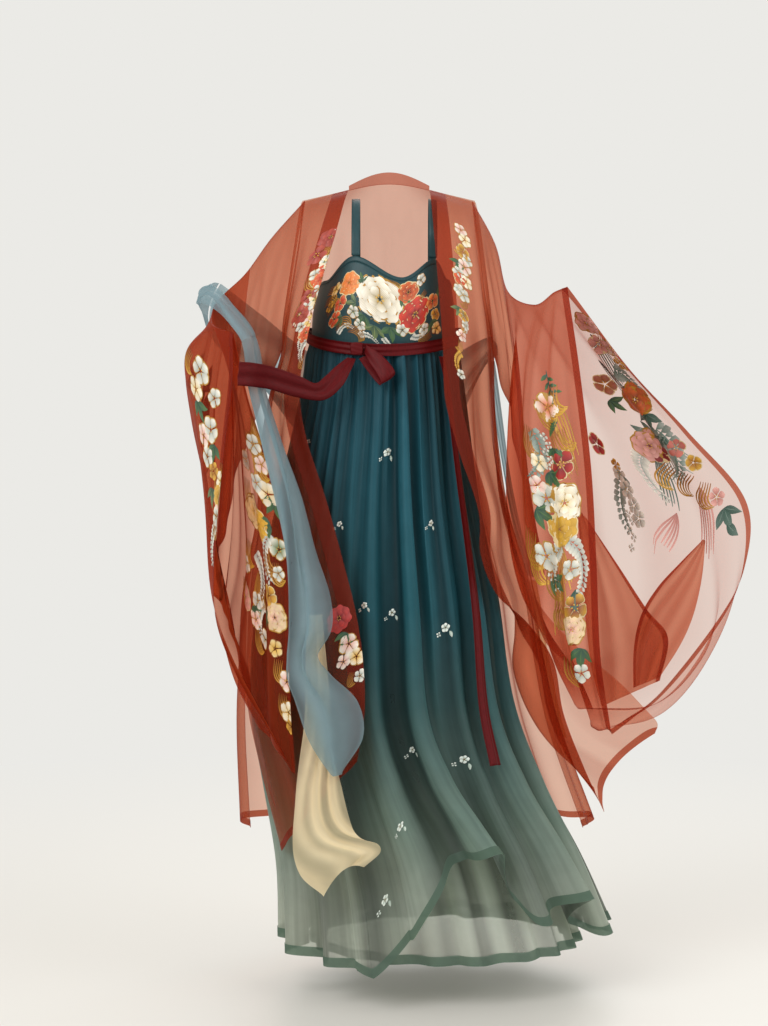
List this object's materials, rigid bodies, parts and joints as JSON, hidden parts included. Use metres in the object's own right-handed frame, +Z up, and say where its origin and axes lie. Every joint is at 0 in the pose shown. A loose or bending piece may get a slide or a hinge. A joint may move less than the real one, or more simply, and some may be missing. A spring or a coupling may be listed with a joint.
{
  "type": "hanfu robe set",
  "caption": "Worn hanfu set: chest-high layered skirt with an embroidered bodice and a tied ribbon belt, a sheer open robe with wide sleeves, and a long scarf over one forearm",
  "frame": {"origin": "between the shoulders at the height of the shoulder line, where the wearer holds the garments up", "axes": "+Z up, -Y the front of the garments, +X the wearer's left"},
  "size_m": [0.949, 0.6542, 1.3245],
  "materials": {
    "bodice_satin": "dark teal satin with raised silk embroidery",
    "skirt_gauze": "sheer gauze dyed from deep teal at the chest to sage at the hem",
    "skirt_under_layer": "plain sheer sage under layer",
    "skirt_hem_tape": "hem folded double, a darker green",
    "ribbon_satin": "dark red satin",
    "robe_chiffon": "sheer rust-red chiffon, embroidered along the edges",
    "robe_band_chiffon": "the same chiffon folded double",
    "scarf_blue_gauze": "light blue sheer gauze",
    "scarf_cream_gauze": "the scarf ends, dyed cream"
  },
  "bodies": {
    "root": {"bodice_front": "bodice_satin", "bodice_back": "bodice_satin", "bodice_binding": "bodice_satin", "strap_right": "bodice_satin", "strap_left": "bodice_satin", "skirt_outer_front": "skirt_gauze", "skirt_outer_back": "skirt_gauze", "skirt_inner_front": "skirt_under_layer", "skirt_inner_back": "skirt_under_layer", "skirt_outer_hem_front": "skirt_hem_tape", "skirt_outer_hem_back": "skirt_hem_tape", "skirt_inner_hem_front": "skirt_hem_tape", "skirt_inner_hem_back": "skirt_hem_tape", "belt": "ribbon_satin", "bow_knot": "ribbon_satin", "bow_loop": "ribbon_satin", "ribbon_tail_held": "ribbon_satin", "ribbon_tail_hanging": "ribbon_satin", "robe_back_right": "robe_chiffon", "robe_back_left": "robe_chiffon", "robe_front_right": "robe_chiffon", "robe_front_left": "robe_chiffon", "sleeve_right_upper": "robe_chiffon", "sleeve_right_wide": "robe_chiffon", "sleeve_left_upper": "robe_chiffon", "sleeve_left_wide": "robe_chiffon", "collar_neck": "robe_band_chiffon", "collar_right": "robe_band_chiffon", "collar_left": "robe_band_chiffon", "robe_hem_back_right": "robe_band_chiffon", "robe_hem_back_left": "robe_band_chiffon", "robe_hem_front_right": "robe_band_chiffon", "robe_hem_front_left": "robe_band_chiffon", "cuff_band_right": "robe_band_chiffon", "cuff_band_left": "robe_band_chiffon", "scarf_back": "scarf_blue_gauze", "scarf_over_arm": "scarf_blue_gauze", "scarf_right_fall": "scarf_blue_gauze", "scarf_left_fall": "scarf_blue_gauze", "scarf_right_end": "scarf_cream_gauze", "scarf_left_end": "scarf_cream_gauze"}
  },
  "joints": []
}
